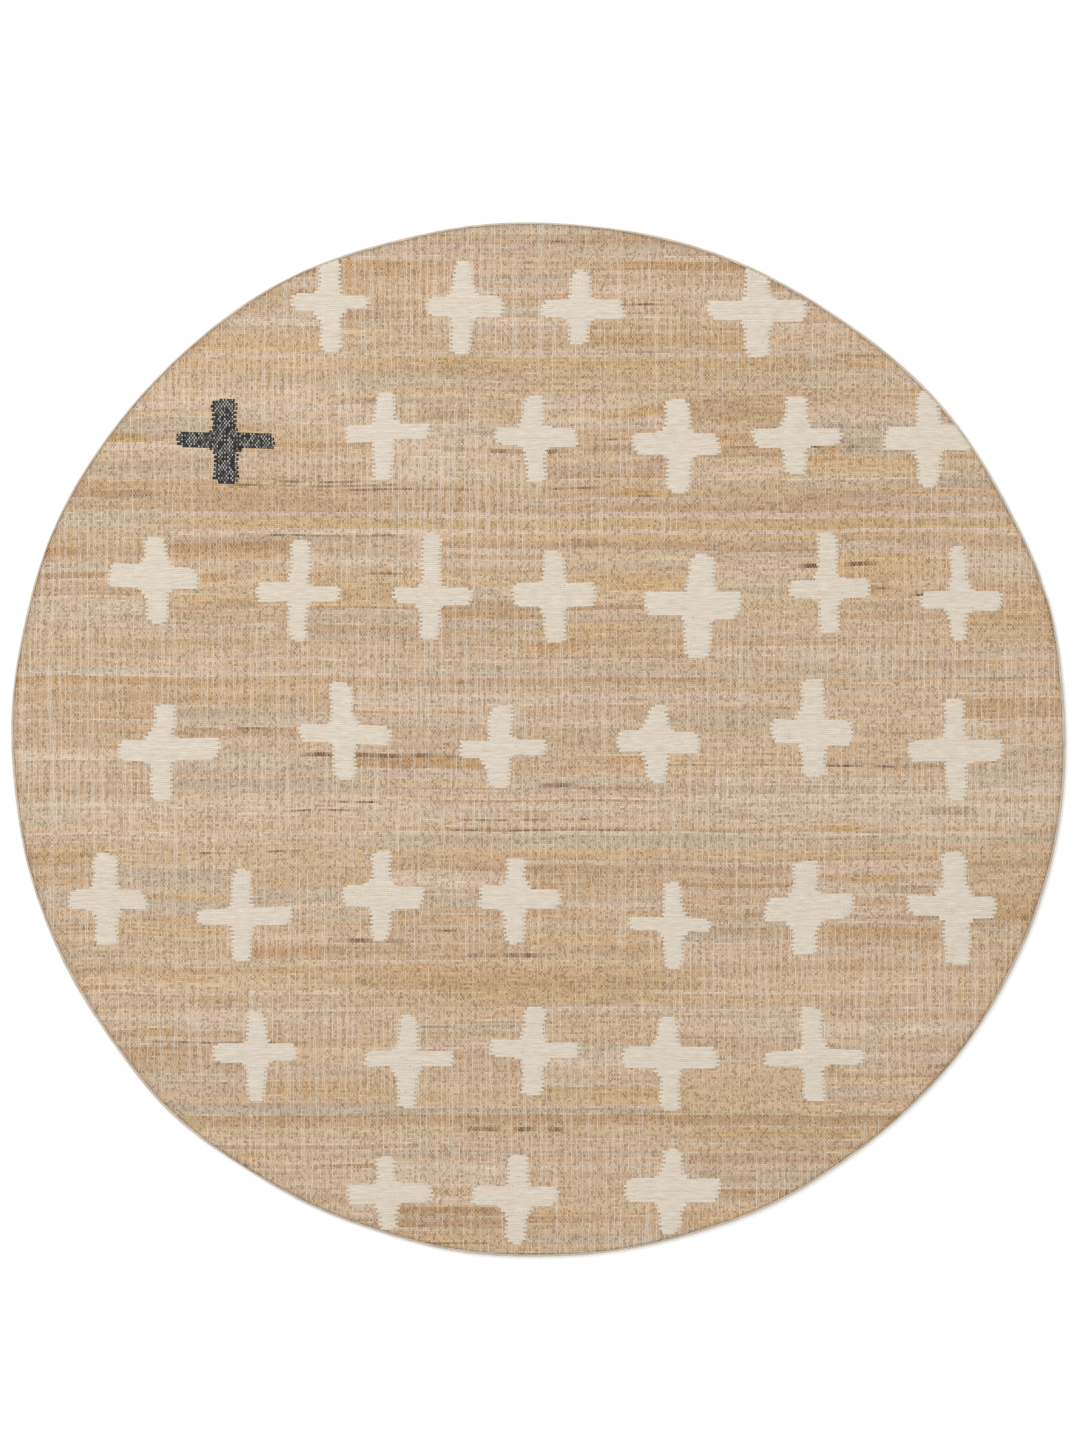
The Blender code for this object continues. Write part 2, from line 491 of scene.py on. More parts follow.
def clothBase():
    # one closed sheet: the rows on top, a wall at the cut edge, a raised rim below and a flat underside
    rows = wovenRows()
    x = [place for _, places in rows for place in places]
    y = [number * cloth["pickPitch"] / 2 for number, places in rows for _ in places]
    starts = np.concatenate([[0], np.cumsum([len(places) for _, places in rows])])
    groups = [range(a, b) for a, b in zip(starts[:-1], starts[1:], strict=True)]
    faces, facePick = [], []
    for (number, _), lower, upper in zip(rows[:-1], groups[:-1], groups[1:], strict=True):
        strip = joinRows(x, lower, upper)
        faces += strip
        facePick += [(number + number % 2) // 2] * len(strip)
    rim = [*groups[0], *(g[-1] for g in groups[1:]), *reversed(groups[-1][:-1]),
           *(g[0] for g in reversed(groups[1:-1]))]
    topCount, rimCount = len(x), len(rim)
    x, y = np.array(x), np.array(y)
    z = np.full(topCount, clothTop)
    rimX, rimY = x[rim], y[rim]
    ring = rim
    for inset, height in ((0, cloth["rimUnderside"]),
                          (cloth["undersideInset"] - cloth["undersideSlope"], cloth["rimUnderside"]),
                          (cloth["undersideInset"], cloth["underside"])):
        shrink = 1 - inset / np.hypot(rimX, rimY)
        newRing = list(range(len(x), len(x) + rimCount))
        x, y = np.concatenate([x, rimX * shrink]), np.concatenate([y, rimY * shrink])
        z = np.concatenate([z, np.full(rimCount, height)])
        for i in range(rimCount):
            j = (i + 1) % rimCount
            faces.append((ring[i], newRing[i], newRing[j], ring[j]))
        ring = newRing
    faces.append(tuple(reversed(ring)))
    return x, y, z, faces, np.array(facePick), topCount, rimCount


def clothBakeMap(mesh, x, y, ring, onUnderside):
    # the top nearly fills the map, the hidden rim lies in rings round it, the underside in a corner
    maps = []
    for place, middle, corner in ((x, 0.475, 0.895), (y, 0.525, 0.105)):
        share = place / cadHigh.x
        onTop = middle + 0.45 * share * (1 + 0.012 * ring)
        maps.append(np.where(onUnderside, corner + 0.098 * share, onTop))
    addMap(mesh, "OFBake", *maps)


def makeClothMesh():
    x, y, z, faces, facePick, topCount, rimCount = clothBase()
    placeX, placeY = layOfCloth(x, y)
    mesh = newMesh("rug_cloth_base", np.column_stack([placeX, placeY, z]).tolist(), faces=faces)
    pick = y / cloth["pickPitch"]
    setValues(mesh, "pick", pick)
    setValues(mesh, "depth", cutDepth(x, y))
    setValues(mesh, "lift", np.arange(len(x)) < topCount)
    corner = readValues(mesh.loops, "vertex_index")
    face = np.repeat(np.arange(len(faces)), [len(face) for face in faces])
    onTop = face < len(facePick)
    cornerPick = np.round(pick[corner]).astype(int)
    cornerPick[onTop] = facePick[face[onTop]]
    colour = weftColours(x[corner], cornerPick, lanesOf(x[corner], cornerPick))
    setValues(mesh, "weft", np.column_stack([colour, np.ones(len(colour))]), "FLOAT_COLOR", "CORNER")
    addMap(mesh, "weave", x[corner] / cloth["warpPitch"], pick[corner])
    ring = np.maximum(0, (corner - topCount) // rimCount + 1)
    clothBakeMap(mesh, x[corner], y[corner], ring, face == len(faces) - 1)
    # the valleys between wefts are creases
    ends = readValues(mesh.edges, "vertices", each=2)
    valley = (np.round(2 * pick[ends]).astype(int) % 2 == 1).reshape(-1, 2).all(1)
    valley |= (ends.reshape(-1, 2) >= topCount).any(1)
    setValues(mesh, "sharp_edge", valley, "BOOLEAN", "EDGE")
    mesh.shade_smooth()
    return mesh


def lanesOf(x, pick):
    # wefts turn back at a sign, so each stretch between signs has its own lots
    lane = np.zeros(len(x), int)
    order = np.argsort(pick, kind="stable")
    values, starts = np.unique(pick[order], return_index=True)
    for value, part in zip(values, np.split(order, starts[1:]), strict=True):
        row = signStretches.get(int(value), [])
        if row:
            keys = np.array([0] + [number + 1 for _, _, number in row])
            lane[part] = keys[np.searchsorted([left for left, _, _ in row], x[part])]
    return lane


def clothTree(values):
    # lifts the rows into ribs, one for each weft, with slubs and a slight unevenness
    add, given = newShapeTree("weft_relief", values)
    pick, depth, lift = (add("InputNamedAttribute", name) for name in ("pick", "depth", "lift"))
    place = add("InputPosition")
    slub, swell = (add("Math.SUBTRACT", add("TexNoise.4D", place, given["Seed"], given[scale], 1.0), 0.5)
                   for scale in ("Slub scale", "Swell scale"))
    crest = add("Math.COSINE", add("Math.MULTIPLY", pick, math.tau))
    rib = add("Math.MULTIPLY", crest, add("Math.MULTIPLY_ADD", slub, given["Slub"], 1.0))
    full = add("MapRange", depth, cloth["flatRim"], given["Shoulder"])
    rib = add("Math.MULTIPLY", add("Math.MULTIPLY", rib, given["Weft relief"]), full)
    thin = add("Math.SUBTRACT", full, 1.0)
    height = add("Math.MULTIPLY_ADD", thin, given["Rim drop"], rib)
    swell = add("Math.MULTIPLY", swell, given["Unevenness"])
    inside = add("MapRange", depth, *cloth["swellFrom"])
    height = add("Math.MULTIPLY_ADD", swell, inside, height)
    offset = add("CombineXYZ", {"Z": add("Math.MULTIPLY", height, lift)})
    moved = add("SetPosition", given["Geometry"], {"Offset": offset})
    return closeShapeTree(add, moved, given)


def makeCloth(material):
    piece = growPiece("rug_cloth", makeClothMesh(), clothTree, {
        "Weft relief": cloth["weftRelief"], "Slub": cloth["slub"], "Slub scale": cloth["slubScale"],
        "Unevenness": cloth["unevenness"], "Swell scale": cloth["swellScale"],
        "Rim drop": cloth["rimDrop"], "Shoulder": cloth["shoulder"], "Seed": float(cloth["seed"]),
        "Material": material})
    print("cloth woven,", len(piece.data.polygons), "faces")
    return piece


signYarn = {
    "width": 0.0053,  # the wool wefts of a sign are pressed together and hide the warps
    "height": 0.0022,
    "lie": 0.0052,  # its middle line above the floor
    "pointStep": 0.0105,
    "endLength": 0.0022,
    "endGirth": 0.55,
    "endDrop": 0.0006,
    "slub": 0.07,
    "stray": 0.00018,
    "twist": 0.0072,  # its two plies make a turn in this length
    "sides": 6,
    "mapWarps": 72,  # a sign's cell of the bake map holds so many warps, from side to side,
    "mapPicks": 56,  # and so many picks
    "seed": 31,
}


def signYarnMesh(name, wanted):
    # the middle lines of a sign's yarns, one for each pick, as loose edges
    dice = random.Random(signYarn["seed"])
    points, edges, values = [], [], {}
    for pick in sorted(signStretches):
        for left, right, number in signStretches[pick]:
            if not wanted(number):
                continue
            end = signYarn["endLength"]
            steps = max(2, math.ceil((right - left - 2 * end) / signYarn["pointStep"]))
            xs = np.concatenate([[left], np.linspace(left + end, right - end, steps + 1), [right]])
            ys = pick * cloth["pickPitch"] + np.array([dice.uniform(-1, 1) for _ in xs]) * signYarn["stray"]
            girth = 1 + signYarn["slub"] * np.array([dice.uniform(-1, 1) for _ in xs])
            girth[0] = girth[-1] = signYarn["endGirth"]
            z = np.full(len(xs), signYarn["lie"])
            z[0] = z[-1] = signYarn["lie"] - signYarn["endDrop"]
            start = len(points)
            points += np.column_stack([*layOfCloth(xs, ys), z]).tolist()
            edges += [(start + i, start + i + 1) for i in range(len(xs) - 1)]
            tone, phase = dice.uniform(-1, 1), dice.uniform(0, 1)
            own = {"girth": girth, "tone": tone, "along": xs + phase,
                   "inside": np.minimum(xs - left, right - xs), "warpAt": xs / cloth["warpPitch"],
                   "pickAt": pick, "sign": number}
            for key, value in own.items():
                values.setdefault(key, []).extend(np.broadcast_to(value, len(xs)))
    mesh = newMesh(name + "_lines", points, edges)
    for key, column in values.items():
        setValues(mesh, key, column)
    return mesh


def yarnTree(values):
    # sweeps a rounded section along every middle line
    add, given = newShapeTree("weft_yarns", values)
    lines = add("MeshToCurve", given["Geometry"])
    upright = add("SetCurveNormal", lines, mode="Z_UP")
    section = add("CurvePrimitiveCircle", given["Sides"], 0.5, mode="RADIUS")
    turned = add("Transform", section, {"Rotation": (0, 0, math.pi / 2)})
    sideways = add("Math.MULTIPLY", given["Yarn width"], 1.1547)  # a hexagon is wider over its corners
    size = add("CombineXYZ", sideways, given["Yarn height"], 1.0)
    sized = add("Transform", turned, {"Scale": size})
    marked = add("StoreNamedAttribute", sized, {"Name": "round", "Value": add("SplineParameter")})
    girth = add("InputNamedAttribute", "girth")
    tubes = add("CurveToMesh", upright, marked, girth, True)
    return closeShapeTree(add, add("SetShadeSmooth", tubes), given)


def cornersOf(mesh, *names):
    # for every corner its face's first corner and size, and these values there
    start, size = readValues(mesh.polygons, "loop_start"), readValues(mesh.polygons, "loop_total")
    vertex = readValues(mesh.loops, "vertex_index")
    return start, size, *(readValues(mesh.attributes[name].data, "value", np.float32)[vertex].astype(float)
                          for name in names)


def closedUp(values, start, size):
    # values that run from 0 to 1 round a loop, so that no face holds both its end and its beginning
    highest = np.repeat(np.maximum.reduceat(values, start), size)
    return values + (highest - values > 0.5)


def signBakeMap(mesh, columns, rows):
    # a cell of the map for each sign, in which its yarns lie unrolled, one above the other
    start, size, sign, pick, around, along = cornersOf(mesh, "sign", "pickAt", "round", "warpAt")
    _, cell = np.unique(np.round(sign), return_inverse=True)
    least, lowest = np.full((2, cell.max() + 1), np.inf)
    np.minimum.at(least, cell, along)
    np.minimum.at(lowest, cell, pick)
    around = closedUp(around, start, size)
    # the two upper facets of six get most of a yarn's height on the map
    across = np.interp(around, (0, 1 / 6, 2 / 6, 4 / 6, 5 / 6, 1), (0, 0.07, 0.16, 0.84, 0.93, 1))
    isCap = np.repeat(size > 4, size)
    middleOfPiece = np.repeat(np.add.reduceat(along, start) / size, size)
    capSide = np.where(middleOfPiece > least[cell] + signYarn["mapWarps"] / 2 - 6, 1, -1)
    u = along - least[cell] + 1.5 + isCap * capSide * (np.abs(around - 0.5) < 0.1)
    v = pick - lowest[cell] + across + 0.5
    addMap(mesh, "OFBake", (cell % columns + u / signYarn["mapWarps"]) / columns,
           (cell // columns + v / signYarn["mapPicks"]) / rows)


def makeSign(name, wanted, material, columns, rows):
    piece = growPiece(name, signYarnMesh(name, wanted), yarnTree, {
        "Yarn width": signYarn["width"], "Yarn height": signYarn["height"],
        "Sides": signYarn["sides"], "Material": material})
    signBakeMap(piece.data, columns, rows)
    return piece


tape = {
    "steps": 720,  # points round the edge
    "legs": (0.0022, 0.0058),  # how far the tape reaches in over the cloth, from least to most
    "sectionLeg": 0.0014,  # and how far it does before it is drawn out to that
    "thickness": 0.0006,
    "bulge": 0.00012,  # it stands this far above the cloth's faces
    "lowerLeg": 0.0050,
    "mapRows": 18,  # it lies in so many rows on its bake map
    "seed": 41,
}
stitches = {
    "length": 0.0031,
    "spacing": 0.0046,
    "thread": 0.00055,
    "fromTapeEdge": 0.0011,
    "arch": 0.00030,  # how high the middle of a stitch stands over its ends
    "stray": ((0.0, -0.02, -0.09), (0.0, 0.02, 0.09)),  # how far one is turned, from least to most
    "size": ((0.85, 0.9, 0.9), (1.12, 1.15, 1.1)),
    "sides": 6,
    "rings": 5,
    "seed": 43,
}


def tapeLeg(bearing):
    # the visible width of the tape wanders, because it is folded and sewn by hand
    least, most = tape["legs"]
    reach = bearing / math.tau
    wander = softNoise(reach * 52 % 52, 0, 1, 1, tape["seed"]) * 0.5
    wander = wander + softNoise(reach * 17 % 17, 7, 1, 1, tape["seed"]) * 0.6
    return least + (most - least) * (0.5 + 0.5 * np.clip(wander, -1, 1))


def edgeLine(name):
    # the cut edge as a closed line, with the width of the tape's upper leg at every point
    bearing = np.linspace(0, math.tau, tape["steps"], endpoint=False)
    radius = cutRadius(bearing)
    points = np.column_stack([radius * np.cos(bearing), radius * np.sin(bearing), np.zeros(len(bearing))])
    mesh = closedLine(name + "_line", points.tolist())
    setValues(mesh, "leg", tapeLeg(bearing))
    setValues(mesh, "along", bearing / math.tau)
    return mesh


def tapeSection():
    # the fold in section: outwards in X and down in Y, as the sweep wants it
    thick, top = tape["thickness"], cadHigh.z + tape["bulge"]
    lowerEnd, upperEnd = -tape["lowerLeg"], -tape["sectionLeg"]
    section = [(lowerEnd, 0.0), (-0.0016, 0.0), (-0.0005, 0.0004), (0.0, 0.0015), (0.0, top - 0.0016),
               (-0.0005, top - 0.0004), (upperEnd, top), (upperEnd, top), (upperEnd, top - thick),
               (-0.0015, top - thick), (-thick - 0.0004, top - 0.0010), (-thick, top - 0.0018),
               (-thick, 0.0018), (-thick - 0.0004, 0.0010), (-0.0016, thick), (lowerEnd, thick)]
    mesh = closedLine("tape_section", [(u, -z, 0.0) for u, z in section])
    numbers = np.arange(len(section))
    setValues(mesh, "legShare", (numbers == 7) | (numbers == 8))  # the end of the upper leg
    setValues(mesh, "round", numbers / len(section))
    return bpy.data.objects.new("tape_section", mesh)


def inwardBy(add, reach):
    # a shift towards the middle of the rug
    flat = add("VectorMath.MULTIPLY", add("InputPosition"), (-1, -1, 0))
    return add("VectorMath.SCALE", add("VectorMath.NORMALIZE", flat), reach)


def tapeTree(values):
    # sweeps the section round the edge and draws its upper leg out to the width that it has there
    add, given = newShapeTree("folded_tape", values)
    line = add("MeshToCurve", given["Geometry"])
    upright = add("SetCurveNormal", line, mode="Z_UP")
    profile = add("ObjectInfo", given["Section"])
    profile = add("MeshToCurve", profile.outputs["Geometry"])
    swept = add("CurveToMesh", upright, profile)
    leg, share = (add("InputNamedAttribute", name) for name in ("leg", "legShare"))
    reach = add("Math.MULTIPLY", add("Math.SUBTRACT", leg, given["Least leg"]), share)
    moved = add("SetPosition", swept, {"Offset": inwardBy(add, reach)})
    return closeShapeTree(add, add("SetShadeSmooth", moved), given)


def tapeBakeMap(mesh, rows):
    # the tape lies on the map in rows, cut open inside the fold
    start, size, along, around = cornersOf(mesh, "along", "round")
    along, around = closedUp(along, start, size), closedUp(around, start, size)
    row = np.repeat(np.floor(np.minimum.reduceat(along, start) * rows + 0.001), size)
    addMap(mesh, "OFBake", 0.005 + 0.99 * (along * rows - row), (row + 0.03 + 0.94 * around) / rows)


def makeTape(material):
    section = tapeSection()
    piece = growPiece("edge_tape", edgeLine("edge_tape"), tapeTree, {
        "Section": section, "Least leg": tape["sectionLeg"], "Material": material})
    bpy.data.objects.remove(section, do_unlink=True)
    tapeBakeMap(piece.data, tape["mapRows"])
    print("tape folded round the edge,", len(piece.data.polygons), "faces")
    return piece


def stitchMesh():
    # one stitch: a short thread that dips into the tape at both ends
    sides, rings = stitches["sides"], stitches["rings"]
    points, faces = [], []
    for ring in range(rings):
        t = ring / (rings - 1)
        swell = stitches["thread"] / 2 * (0.55 + 0.45 * math.sin(math.pi * t))
        rise = stitches["arch"] * (math.sin(math.pi * t) - 0.45)
        for side in range(sides):
            turn = math.tau * side / sides
            points.append((stitches["length"] * (t - 0.5), swell * math.cos(turn),
                           swell * math.sin(turn) + rise))
            if ring:
                a, b = (ring - 1) * sides + side, (ring - 1) * sides + (side + 1) % sides
                faces.append((a + sides, b + sides, b, a))
    faces.append(tuple(range(sides)))
    faces.append(tuple(range(rings * sides - 1, (rings - 1) * sides - 1, -1)))
    mesh = newMesh("stitch", points, faces=faces)
    mesh.shade_smooth()
    return bpy.data.objects.new("stitch", mesh)


def stitchTree(values):
    # sews along the tape, a little in from its inner edge; no two stitches lie or measure quite alike
    add, given = newShapeTree("running_stitch", values)
    leg = add("InputNamedAttribute", "leg")
    shift = inwardBy(add, add("Math.SUBTRACT", leg, given["From tape edge"]))
    shift = add("VectorMath.ADD", shift, add("CombineXYZ", {"Z": given["Height"]}))
    moved = add("SetPosition", given["Geometry"], {"Offset": shift})
    line = add("MeshToCurve", moved)
    spaced = add("ResampleCurve", line, {"Length": given["Spacing"]}, mode="LENGTH")
    stray, size = (add("RandomValue.FLOAT_VECTOR", *stitches[name], {"Seed": given["Seed"]})
                   for name in ("stray", "size"))
    turn = add("AlignRotationToVector", {"Vector": add("InputTangent")}, axis="X")
    turn = add("RotateRotation", turn, add("EulerToRotation", stray), rotation_space="LOCAL")
    shape = add("ObjectInfo", given["Stitch"])
    sewn = add("InstanceOnPoints", spaced, {
        "Instance": shape.outputs["Geometry"], "Rotation": turn, "Scale": size})
    return closeShapeTree(add, sewn, given)


def stitchBakeMap(mesh):
    # every stitch has a square cell of the map, as wide as it is long
    sides, rings = stitches["sides"], stitches["rings"]
    start, size = cornersOf(mesh)
    number, point = np.divmod(readValues(mesh.loops, "vertex_index"), sides * rings)
    grid = math.ceil(math.sqrt(number.max() + 1))
    ring = point // sides
    isCap = np.repeat(size > 4, size)
    around = np.where(isCap, point % sides / sides, closedUp(point % sides / sides, start, size))
    outwards = isCap * np.where(ring == 0, -0.1, 0.1) * (np.abs(around - 0.5) < 0.2)
    u, v = 0.15 + 0.7 * ring / (rings - 1) + outwards, 0.05 + 0.9 * around
    addMap(mesh, "OFBake", (number % grid + u) / grid, (number // grid + v) / grid)


def makeStitches(material):
    stitch = stitchMesh()
    piece = growPiece("tape_stitches", edgeLine("tape_stitches"), stitchTree, {
        "Stitch": stitch, "Spacing": stitches["spacing"], "From tape edge": stitches["fromTapeEdge"],
        "Height": cadHigh.z + tape["bulge"], "Seed": stitches["seed"], "Material": material})
    bpy.data.objects.remove(stitch, do_unlink=True)
    stitchBakeMap(piece.data)
    print("tape sewn down,", len(piece.data.polygons), "faces")
    return piece


juteFinish = {
    "warp": "#DBD0C0",  # undyed cotton warp
    "gap": "#7A5B3C",  # shade between the yarns
    "deepTone": (0.66, 0.62, 0.57),  # the darkest and the palest a bit of weft gets, over its lot
    "paleTone": (1.27, 1.30, 1.33),
    "beatWarps": 4.8,  # warps from one that shows more to the next
    # noises, with their cells for each warp and each pick, and their detail
    "spread": ((0.085, 0.006, 0.0), 1.0),
    "beat": ((0.004, 0.021, 0.0), 1.0),
    "stretch": ((0.11, 2.9, 0.0), 2.0),
    "fibre": ((0.9, 6.0, 0.0), 2.0),
    "roughness": 0.92,
}


def handWovenJute():
    # Hand-woven jute on cotton warps: matt and hairy, wefts in many lots of brown, and pale warps that
    # show at every other crossing, some of them as a fine line over the length of a hand.
    material, shader, add = newMaterial("hand_woven_jute", juteFinish["roughness"])
    weave = add("UVMap", uv_map="weave")
    wobble = add("TexNoise.2D", weave, 0.31, 2.0).outputs["Color"]
    wobble = add("VectorMath.SUBTRACT", wobble, (0.5, 0.5, 0.5))
    wobble = add("VectorMath.MULTIPLY_ADD", wobble, (1.2, 0.35, 0.0), weave)
    crossing = add("VectorMath.ADD", wobble, (0.0, 0.5, 0.0))
    cell = add("VectorMath.FLOOR", crossing)
    inCell = add("VectorMath.SUBTRACT", add("VectorMath.FRACTION", crossing), (0.5, 0.5, 0.0))
    fromWarp, fromPick, _ = add("SeparateXYZ", add("VectorMath.ABSOLUTE", inCell)).outputs
    warp, pick, _ = add("SeparateXYZ", cell).outputs
    parity = add("Math.FLOORED_MODULO", add("Math.ADD", warp, pick), 2.0)
    noises = []
    for name, place in (("spread", cell), ("beat", cell), ("stretch", cell), ("fibre", weave)):
        cells, detail = juteFinish[name]
        noises.append(add("TexNoise.2D", add("VectorMath.MULTIPLY", place, cells), 1.0, detail))
    spread, beat, stretch, fibre = noises

    # how much each warp shows: it fades in and out along the warp, over 20 to 60 picks, and about
    # every fifth one, now nearer and now farther, has more of it
    ownWarp = add("Math.MULTIPLY", add("TexWhiteNoise.1D", warp), 900.0)
    alongWarp = add("CombineXYZ", ownWarp, add("Math.MULTIPLY", pick, 0.035))
    alongWarp = add("TexNoise.2D", alongWarp, 1.0, 1.0)
    spread = add("Math.MULTIPLY", spread, 13.0)
    fifth = add("Math.MULTIPLY_ADD", warp, math.tau / juteFinish["beatWarps"], spread)
    fifth = add("Math.COSINE", fifth)
    # the beat is softer over some hands of the cloth than over others, and all warps show more there
    strong = add("Math.MULTIPLY_ADD", beat, 0.24, 0.20)
    strong = add("Math.MULTIPLY_ADD", alongWarp, 0.34, strong)
    strong = add("Math.MULTIPLY_ADD", fifth, 0.082, strong)
    strong = add("MapRange", strong, 0.41, 0.70, interpolation_type="SMOOTHSTEP")
    upWidth = add("Math.MULTIPLY_ADD", strong, 0.24, 0.15)
    downWidth = add("Math.MULTIPLY_ADD", strong, 0.42, -0.05)
    halfWidth = add("Mix", parity, downWidth, upWidth)
    overEdge = add("Math.SUBTRACT", halfWidth, fromWarp)
    warpShows = add("MapRange", overEdge, -0.05, 0.08, interpolation_type="SMOOTHSTEP")
    hairy = add("Math.MULTIPLY_ADD", strong, 0.18, 0.42)
    warpShare = add("Math.MULTIPLY", warpShows, hairy)

    # tone of each crossing, of a short stretch of yarn, and of the fibres
    tone = add("Math.POWER", add("TexWhiteNoise.2D", cell), 4.0)
    tone = add("Math.MULTIPLY_ADD", tone, -1.05, 0.21)
    tone = add("Math.MULTIPLY_ADD", stretch, 0.7, tone)
    tone = add("Math.MULTIPLY_ADD", fibre, 0.84, tone)
    tone = add("Math.SUBTRACT", tone, 0.265)
    tone = add("Mix.VECTOR", tone, juteFinish["deepTone"], juteFinish["paleTone"])
    weft = add("Attribute", attribute_name="weft")
    weft = add("VectorMath.MULTIPLY", weft, tone)
    yarn = add("Mix.RGBA", warpShare, weft, juteFinish["warp"])

    # painted shade in the little gaps where four yarns meet
    gap = add("Math.MULTIPLY", add("MapRange", fromWarp, 0.30, 0.5), add("MapRange", fromPick, 0.26, 0.5))
    shaded = add("Mix.RGBA", gap, yarn, juteFinish["gap"])

    # relief of the crossings: a weft is a low dome, a warp a narrow ridge
    dome = add("Math.MULTIPLY_ADD", add("Math.POWER", fromPick, 2.0), -2.4, 0.7)
    ridge = add("Math.MULTIPLY_ADD", overEdge, 1.5, 0.55)
    relief = add("Mix", warpShows, dome, ridge)
    relief = add("Math.MULTIPLY_ADD", fibre, 0.5, relief)
    bump = add("Bump", 0.4, 0.0006, {"Height": relief})
    setInputs(shader, {"Base Color": shaded, "Normal": bump, "Sheen Weight": 0.08, "Sheen Roughness": 0.5})
    return material


creamFinish = {
    "light": "#D7CEBF",
    "dark": "#C5B9A6",
    "straw": "#8D7A5C",
    "strawScale": 240.0,  # one place for a bit of straw in about 4 mm,
    "strawShare": 0.006,  # and so many of them have one
    "roughness": 0.95,
}
charcoalFinish = {"light": "#34312E", "dark": "#151413", "fleck": "#A9A6A0", "roughness": 0.95}


def twoPlyWool(name, finish):
    # Two-ply wool, handspun: matt, with a twist of about 7 mm and slightly uneven in tone from pick to pick
    material, shader, add = newMaterial(name, finish["roughness"])
    along, turn, tone = (add("Attribute", attribute_name=key).outputs["Fac"]
                         for key in ("along", "round", "tone"))
    twist = add("Math.MULTIPLY_ADD", along, 1 / signYarn["twist"], turn)
    twist = add("Math.SINE", add("Math.MULTIPLY", twist, math.tau))
    place = add("TexCoord").outputs["Object"]
    fibre = add("TexNoise", add("VectorMath.MULTIPLY", place, (260.0, 900.0, 900.0)), 1.0, 2.0)
    cloud = add("TexNoise", add("VectorMath.MULTIPLY", place, (45.0, 240.0, 1.0)), 1.0, 1.0)
    shade = add("Math.MULTIPLY_ADD", twist, 0.06, cloud)
    shade = add("Math.MULTIPLY_ADD", fibre, 0.35, shade)
    shade = add("Math.MULTIPLY_ADD", tone, 0.08, shade)
    shade = add("MapRange", shade, 0.35, 0.95)
    colour = add("Mix.RGBA", shade, finish["dark"], finish["light"])
    height = add("Math.MULTIPLY_ADD", twist, 0.5, fibre)
    setInputs(shader, {"Normal": add("Bump", 0.4, 0.0004, {"Height": height})})
    return material, shader, add, colour


def creamWool():
    # Undyed wool, in which a few bits of straw are left
    material, shader, add, colour = twoPlyWool("cream_handspun_wool", creamFinish)
    place = add("TexCoord").outputs["Object"]
    bit = add("TexVoronoi.2D", place, creamFinish["strawScale"])
    kind = add("SeparateXYZ", bit.outputs["Color"])
    straw = add("Math.GREATER_THAN", kind, 1 - creamFinish["strawShare"])
    straw = add("Math.MULTIPLY", straw, add("MapRange", bit, 0.20, 0.32, 0.7, 0.0))
    specked = add("Mix.RGBA", straw, colour, creamFinish["straw"])
    setInputs(shader, {"Base Color": specked})
    return material


def charcoalWool():
    # The charcoal wefts are beaten less, so that the pale warps show at every other crossing, as a
    # checkered fleck, and here and there one shows as a broken line
    material, shader, add, colour = twoPlyWool("charcoal_handspun_wool", charcoalFinish)
    warpAt, pickAt, inside, turn = (
        add("Attribute", attribute_name=key).outputs["Fac"]
        for key in ("warpAt", "pickAt", "inside", "round"))
    warp, pick = add("Math.FLOOR", warpAt), add("Math.ROUND", pickAt)
    over = add("Math.FLOORED_MODULO", add("Math.ADD", warp, pick), 2.0)
    crossing = add("CombineXYZ", warp, pick)
    draw = add("TexWhiteNoise.2D", crossing)
    slow = add("VectorMath.MULTIPLY", crossing, (0.53, 0.13, 0.0))
    slow = add("TexNoise.2D", slow, 1.3, 1.0)
    showing = add("Math.MULTIPLY_ADD", draw, 0.45, slow)
    showing = add("Math.MULTIPLY_ADD", over, 0.45, showing)
    showing = add("MapRange", showing, 1.00, 1.30)
    # a fleck is an oval, as wide as its warp and as tall as its pick
    oval = add("CombineXYZ", add("Math.FRACT", warpAt), turn)
    oval = add("VectorMath.SUBTRACT", oval, (0.5, 0.5, 0.0))
    oval = add("VectorMath.LENGTH", add("VectorMath.MULTIPLY", oval, (2.2, 5.6, 0.0)))
    oval = add("MapRange", oval, 0.85, 1.15, 1.0, 0.0)
    fleck = add("Math.MULTIPLY", oval, showing)
    fleck = add("Math.MULTIPLY", fleck, add("MapRange", inside, 0.003, 0.007))
    speckled = add("Mix.RGBA", fleck, colour, charcoalFinish["fleck"])
    setInputs(shader, {"Base Color": speckled})
    return material


tapeFinish = {"light": "#CFC3B2", "dark": "#AD9E89", "thread": 0.0006, "roughness": 0.9}
threadFinish = {"light": "#DDD2C0", "dark": "#B9AB95", "plyScale": 900.0, "roughness": 0.6}


def cottonTape():
    # Greige cotton tape, plain woven from threads of 0.6 mm: matt, a little darker where it is handled
    material, shader, add = newMaterial("greige_cotton_tape", tapeFinish["roughness"])
    place = add("TexCoord").outputs["Object"]
    threads = add("TexVoronoi", place, 1 / tapeFinish["thread"], {"Randomness": 0.35})
    cloud = add("TexNoise", place, 28.0, 3.0)
    # painted shade between the threads, where the bump is lowest, laid over the tape's uneven tone
    shade = add("MapRange", add("Math.MULTIPLY_ADD", threads, -0.5, cloud), 0.0, 0.6)
    colour = add("Mix.RGBA", shade, tapeFinish["dark"], tapeFinish["light"])
    bump = add("Bump", 0.6, 0.0003, {"Height": threads}, invert=True)
    setInputs(shader, {"Base Color": colour, "Normal": bump})
    return material


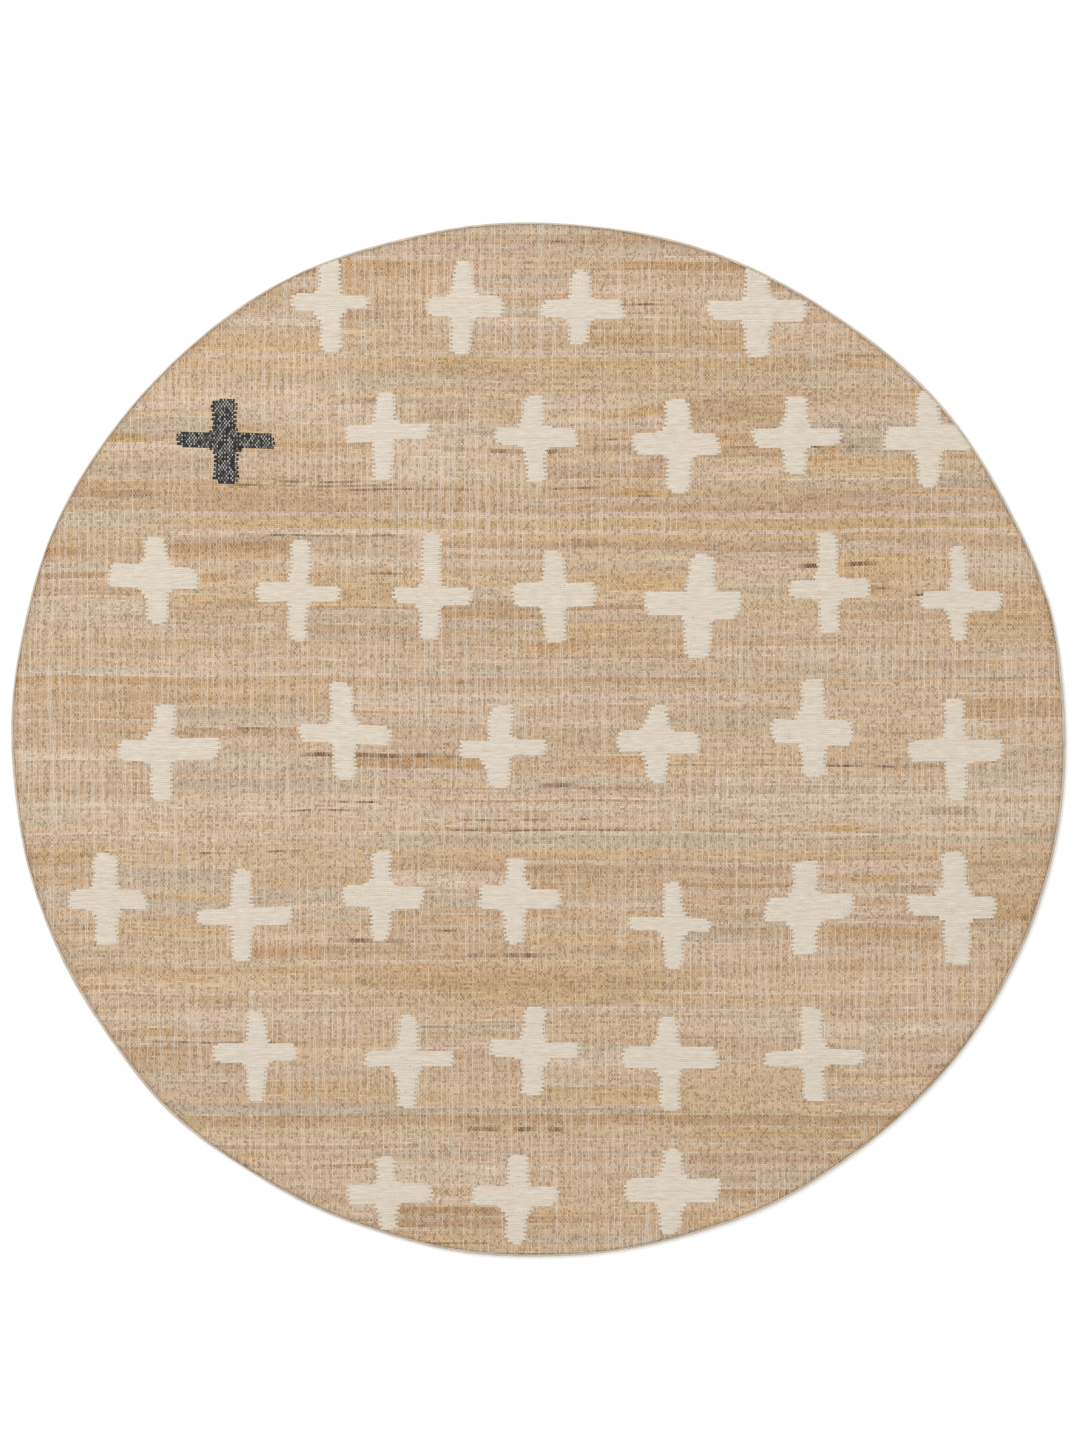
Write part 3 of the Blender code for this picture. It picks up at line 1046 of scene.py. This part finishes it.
def sewingThread():
    # Spun polyester thread in the tape's own shade: smoother than the cotton, with a faint lustre
    material, shader, add = newMaterial("spun_sewing_thread", threadFinish["roughness"])
    place = add("TexCoord").outputs["Object"]
    ply = add("TexWave", place, threadFinish["plyScale"], bands_direction="DIAGONAL")
    colour = add("Mix.RGBA", ply, threadFinish["dark"], threadFinish["light"])
    setInputs(shader, {"Base Color": colour})
    return material


studio = {
    "floorSize": 60.0,
    "floorShade": 0.93,
    "cameraPlace": (0.0029, 0.0373, 7.65),  # above the rug's face
    "lens": 100.0,
    "sky": 1.0,
    "lamp": 110.0,
    "lampSize": 2.5,
    "lampPlace": (-3.0, 3.5, 4.5),
}


def makeStudio():
    # a white floor, an even white sky, and one broad lamp from the upper left
    side = studio["floorSize"] / 2
    floor = addObject("studio_floor", newMesh(
        "studio_floor", [(-side, -side, 0), (side, -side, 0), (side, side, 0), (-side, side, 0)],
        faces=[(0, 1, 2, 3)]))
    paint, shader, _ = newMaterial("matt_white_paint", 1.0)
    setInputs(shader, {"Base Color": [studio["floorShade"]] * 3 + [1.0], "Specular IOR Level": 0.0})
    floor.data.materials.append(paint)

    scene.world = bpy.data.worlds.new("studio_sky")
    scene.world.use_nodes = True
    sky = scene.world.node_tree.nodes["Background"]
    setInputs(sky, {"Color": "#FFFFFF", "Strength": studio["sky"]})

    lamp = addObject("softbox", bpy.data.lights.new("softbox", "AREA"))
    lamp.data.size = studio["lampSize"]
    lamp.data.energy = studio["lamp"]
    lamp.location = studio["lampPlace"]
    lamp.rotation_mode = "QUATERNION"
    lamp.rotation_quaternion = (-lamp.location).to_track_quat("-Z", "Y")

    camera = addObject("overhead_camera", bpy.data.cameras.new("overhead_camera"))
    camera.data.lens = studio["lens"]
    camera.data.sensor_width = 36.0
    camera.location = studio["cameraPlace"]
    camera.location.z += cadHigh.z
    scene.camera = camera
    scene.view_settings.view_transform = "Standard"
    scene.cycles.use_denoising = False  # it would smear the weave
    scene.cycles.filter_width = 1.4  # as sharp as the photograph


makeStudio()
rugCloth = makeCloth(handWovenJute())
creamSigns = makeSign("cream_signs", lambda number: number != signs["charcoal"], creamWool(), 6, 7)
charcoalPiece = makeSign("charcoal_sign", lambda number: number == signs["charcoal"], charcoalWool(), 1, 1)
print("signs woven in,", len(creamSigns.data.polygons) + len(charcoalPiece.data.polygons), "faces")
edgeTape = makeTape(cottonTape())
tapeStitches = makeStitches(sewingThread())

for piece, slotName in ((rugCloth, "jute_cloth"), (creamSigns, "jute_cloth"), (charcoalPiece, "jute_cloth"),
                        (edgeTape, "binding_tape"), (tapeStitches, "binding_tape")):
    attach(piece, "root")
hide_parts("rug")
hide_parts("edge_binding")

print("rug dressed")
